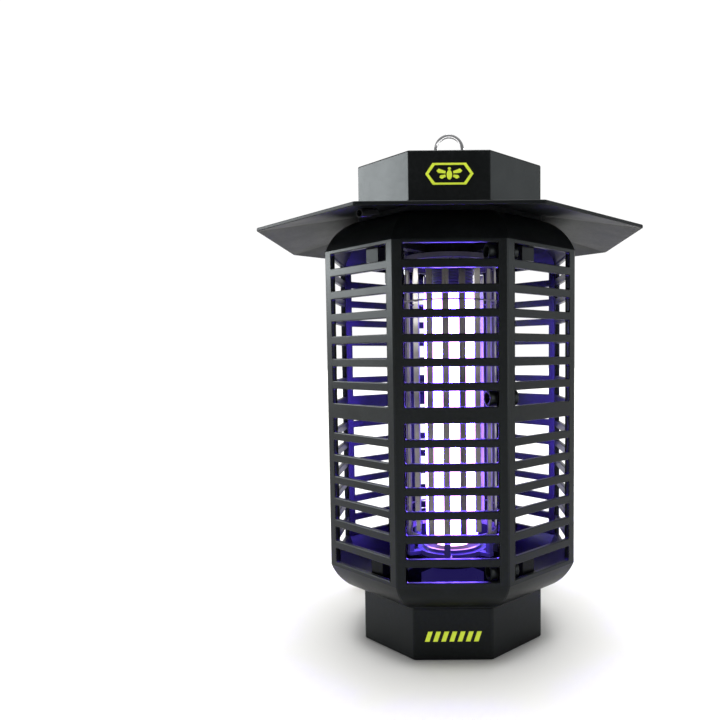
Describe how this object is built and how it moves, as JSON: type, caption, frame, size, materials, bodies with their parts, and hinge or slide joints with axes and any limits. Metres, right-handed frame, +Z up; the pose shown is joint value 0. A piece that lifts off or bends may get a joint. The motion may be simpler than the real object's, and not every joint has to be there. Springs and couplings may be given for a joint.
{
  "type": "electric bug zapper",
  "caption": "Hanging octagonal lantern bug zapper: slotted black cage around a UV lamp with an electrified grid, wide sloping brim, cap with hanging ring, catch tray, mains cord.",
  "frame": {"origin": "centre of the tray's underside, on the floor under the lamp's axis", "axes": "+Z up along the lamp's axis, -Y out of the face that carries the emblems, +X to that face's right"},
  "size_m": [0.247, 0.274, 0.3536],
  "materials": {
    "black_plastic": "satin moulded black",
    "gloss_black_plastic": "polished black",
    "insulator_plastic": "smooth light grey",
    "satin_steel": "drawn strip, satin",
    "screw_steel": "zinc plated",
    "chrome": "polished",
    "brass": "plain",
    "lamp_glass": "clear violet tinted",
    "cord_rubber": "matte",
    "board_green": "solder-masked laminate",
    "ferrite": "dull dark grey",
    "film_red": "dipped resin",
    "can_blue": "printed sleeve",
    "copper": "enamelled winding",
    "lime_paint": "printed lime"
  },
  "bodies": {
    "zapper": {"ballast_choke": "copper", "brim": "black_plastic", "cage_screw_1": "screw_steel", "cage_screw_2": "screw_steel", "cage_screw_3": "screw_steel", "cage_screw_4": "screw_steel", "cage_screw_5": "screw_steel", "cage_screw_6": "screw_steel", "cap": "black_plastic", "cap_emblem": "lime_paint", "cap_screw_1": "screw_steel", "cap_screw_2": "screw_steel", "cap_screw_3": "screw_steel", "cap_screw_4": "screw_steel", "circuit_board": "board_green", "cord_guide": "black_plastic", "electrolytic_capacitor": "can_blue", "film_capacitor": "film_red", "grid_hoop_lower": "satin_steel", "grid_hoop_upper": "satin_steel", "grid_live": "satin_steel", "grid_return": "satin_steel", "grille_back": "black_plastic", "grille_back_left": "black_plastic", "grille_back_right": "black_plastic", "grille_front": "black_plastic", "grille_front_left": "black_plastic", "grille_front_right": "black_plastic", "grille_left": "black_plastic", "grille_right": "black_plastic", "hanger_eye": "screw_steel", "hanger_nut": "screw_steel", "inner_lead": "cord_rubber", "lamp_collar": "gloss_black_plastic", "lamp_socket": "insulator_plastic", "lamp_tube": "lamp_glass", "lead_live": "screw_steel", "lead_return": "screw_steel", "lower_insulator": "insulator_plastic", "lower_spider": "gloss_black_plastic", "mains_cord": "cord_rubber", "mains_cord_coil": "cord_rubber", "mains_cord_tail": "cord_rubber", "plug_blade_1": "brass", "plug_blade_2": "brass", "plug_body": "cord_rubber", "shoulder_lower_left": "black_plastic", "shoulder_lower_right": "black_plastic", "shoulder_upper_left": "black_plastic", "shoulder_upper_right": "black_plastic", "strain_relief": "cord_rubber", "terminal_block": "gloss_black_plastic", "transformer": "ferrite", "upper_insulator": "insulator_plastic", "upper_spider": "gloss_black_plastic", "voltage_doubler": "film_red"},
    "hanger": {"hanger_ring": "chrome"},
    "tray": {"base_emblem": "lime_paint", "tray": "black_plastic"}
  },
  "joints": [
    {"name": "ring_swing", "type": "hinge", "parent": "zapper", "child": "hanger", "pos_m": [0, 0, 0.3335], "axis": [1, 0, 0], "range_deg": [-110, 110]},
    {"name": "tray_turn", "type": "hinge", "parent": "zapper", "child": "tray", "pos_m": [0, 0, 0.0341], "axis": [0, 0, 1], "range_deg": [0, 30]}
  ]
}
